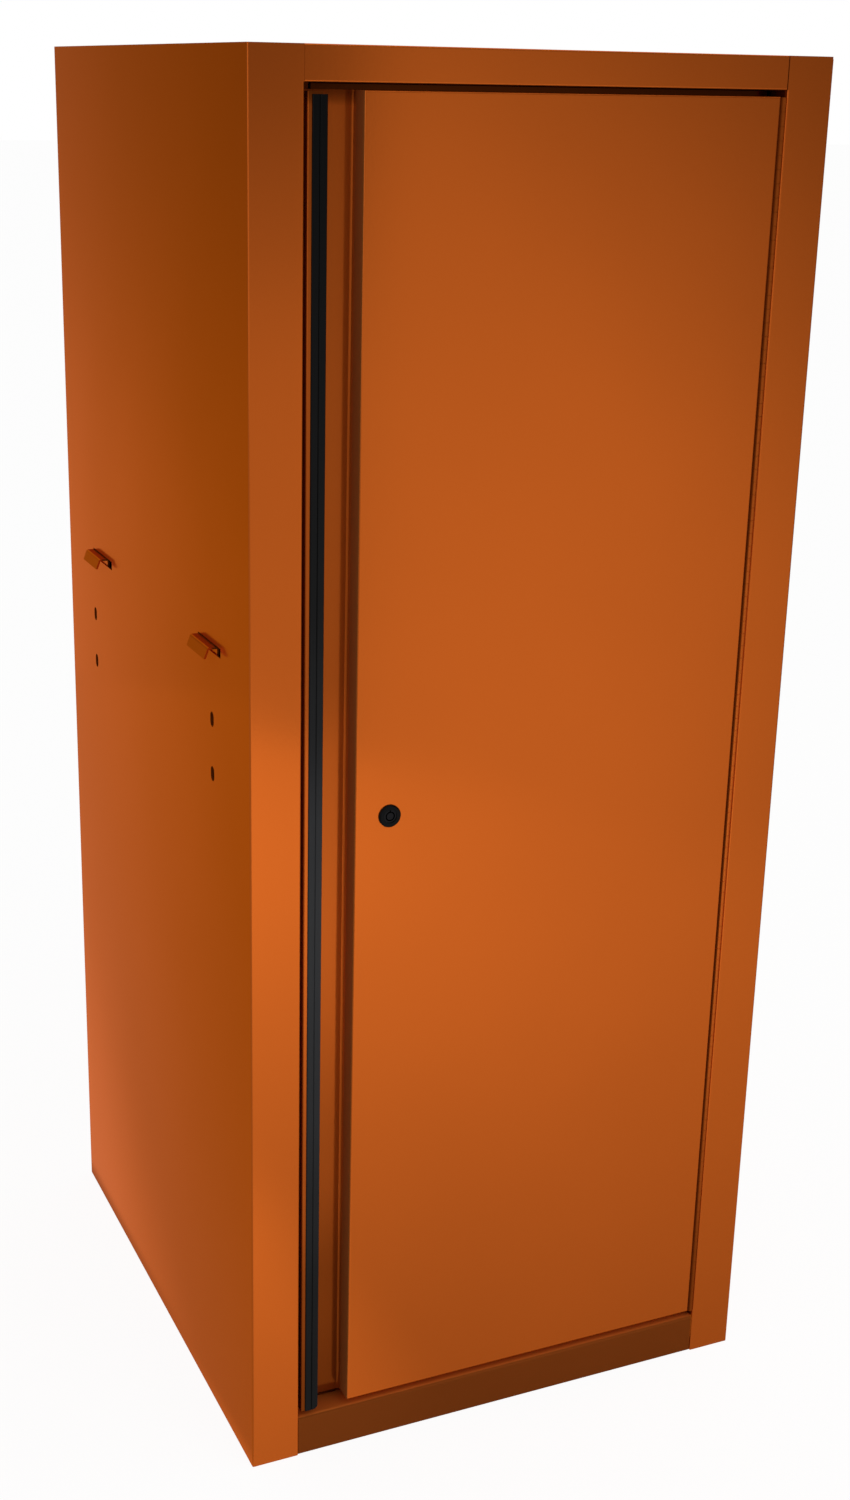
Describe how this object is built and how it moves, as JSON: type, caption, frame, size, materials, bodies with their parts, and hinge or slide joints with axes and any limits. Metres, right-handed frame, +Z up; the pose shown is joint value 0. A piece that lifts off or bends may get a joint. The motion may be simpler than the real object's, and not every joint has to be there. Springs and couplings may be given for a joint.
{
  "type": "tool chest side locker",
  "caption": "Tall folded-steel side locker: full-height piano-hinged door with a grip trim beside a finger recess, key lock, shelves, and side hooks and bolt slots for hanging on a tool chest.",
  "frame": {"origin": "centre of the cabinet's base, on the floor plane, hooks not counted", "axes": "+Z up, -Y out of the door side, +X towards the hinge side; the hooks are on the -X side"},
  "size_m": [0.5835, 0.624, 1.3843],
  "materials": {
    "copper_paint": "semi-gloss powder coat with a faint orange peel",
    "sill_paint": "semi-gloss powder coat, darker because it is set back in shade",
    "zinc_steel": "bright zinc plate",
    "black_lock": "black, satin",
    "lock_core": "dark nickel",
    "black_trim": "black, satin",
    "nylon": "natural white",
    "bumper_rubber": "matt",
    "magnet": "nickel plate"
  },
  "bodies": {
    "cabinet": {"left_side_panel": "copper_paint", "right_side_panel": "copper_paint", "top_panel": "copper_paint", "bottom_rail": "sill_paint", "floor_panel": "copper_paint", "back_panel": "copper_paint", "back_panel_rivets": "zinc_steel", "base_stiffener_left": "copper_paint", "base_stiffener_center": "copper_paint", "base_stiffener_right": "copper_paint", "hook_bracket_front": "copper_paint", "hook_bracket_rear": "copper_paint", "shelf_standard_front_left": "copper_paint", "shelf_standard_rear_left": "copper_paint", "shelf_standard_front_right": "copper_paint", "shelf_standard_rear_right": "copper_paint", "shelf_upper": "copper_paint", "shelf_middle": "copper_paint", "shelf_lower": "copper_paint", "shelf_clips_upper": "zinc_steel", "shelf_clips_middle": "zinc_steel", "shelf_clips_lower": "zinc_steel", "hinge_frame_leaf": "copper_paint", "hinge_pin": "zinc_steel", "hinge_frame_rivets": "zinc_steel", "door_bumpers": "bumper_rubber", "door_magnets": "magnet"},
    "door": {"door_skin": "copper_paint", "door_recess_channel": "copper_paint", "door_edge_trim": "black_trim", "door_inner_panel": "copper_paint", "door_stiffener": "copper_paint", "hinge_door_leaf": "copper_paint", "hinge_door_rivets": "zinc_steel", "lock_housing": "black_lock", "lock_nut": "zinc_steel", "rod_guide_upper": "nylon", "rod_guide_lower": "nylon"},
    "lock_rotor": {"lock_plug": "lock_core", "lock_cam": "zinc_steel", "cam_screw": "zinc_steel"},
    "upper_rod": {"lock_rod_upper": "zinc_steel"},
    "lower_rod": {"lock_rod_lower": "zinc_steel"}
  },
  "joints": [
    {"name": "door_hinge", "type": "hinge", "parent": "cabinet", "child": "door", "pos_m": [0.23465, -0.30885, 0.7], "axis": [0, 0, 1], "range_deg": [0, 120]},
    {"name": "lock_turn", "type": "hinge", "parent": "door", "child": "lock_rotor", "pos_m": [-0.14595, -0.31015, 0.697], "axis": [0, 1, 0], "range_deg": [0, 90]},
    {"name": "upper_rod_slide", "type": "slide", "parent": "door", "child": "upper_rod", "axis": [0, 0, 1], "range_m": [0, 0.0142]},
    {"name": "lower_rod_slide", "type": "slide", "parent": "door", "child": "lower_rod", "axis": [0, 0, 1], "range_m": [-0.0142, 0]}
  ],
  "couplings": [
    {"joint": "lock_turn", "follows": "upper_rod_slide", "rad_per_m": 110.6},
    {"joint": "lower_rod_slide", "follows": "upper_rod_slide", "ratio": -1}
  ]
}
